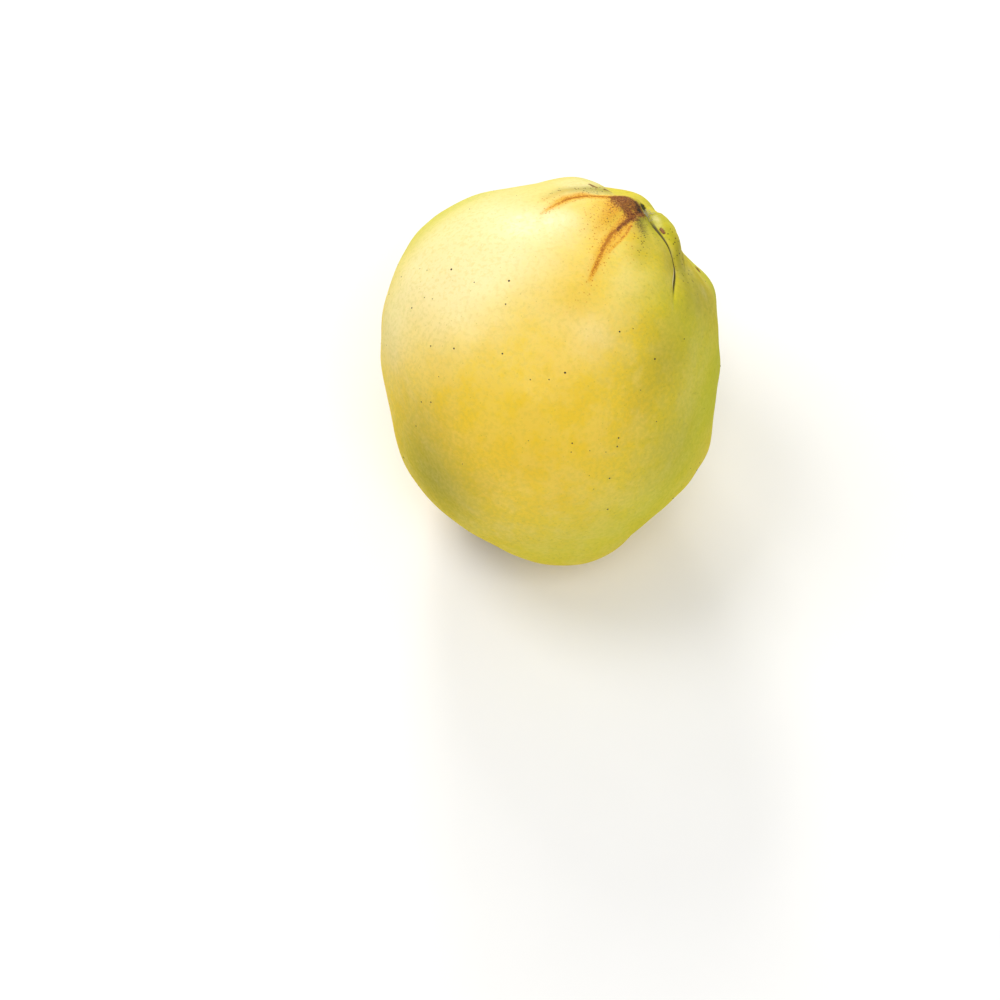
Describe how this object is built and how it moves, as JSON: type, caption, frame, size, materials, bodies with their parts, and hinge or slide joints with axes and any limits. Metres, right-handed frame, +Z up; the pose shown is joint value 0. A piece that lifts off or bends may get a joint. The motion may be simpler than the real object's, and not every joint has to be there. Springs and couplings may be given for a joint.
{
  "type": "quince",
  "caption": "Ripe yellow quince, lying stem end up, with lobes round a broken stem in its pit and a dried calyx in its basin.",
  "frame": {"origin": "centre of the small flat spot that the fruit rests on", "axes": "+Z up; the stem end points up, right (+X) and back (+Y), and the calyx down, left and to the front"},
  "size_m": [0.0905, 0.0998, 0.0989],
  "materials": {
    "skin": "satin",
    "dry_calyx": "matte",
    "stem_wood": "matte"
  },
  "bodies": {
    "root": {"fruit": "skin", "calyx": "dry_calyx", "stem_stub": "stem_wood"}
  },
  "joints": []
}
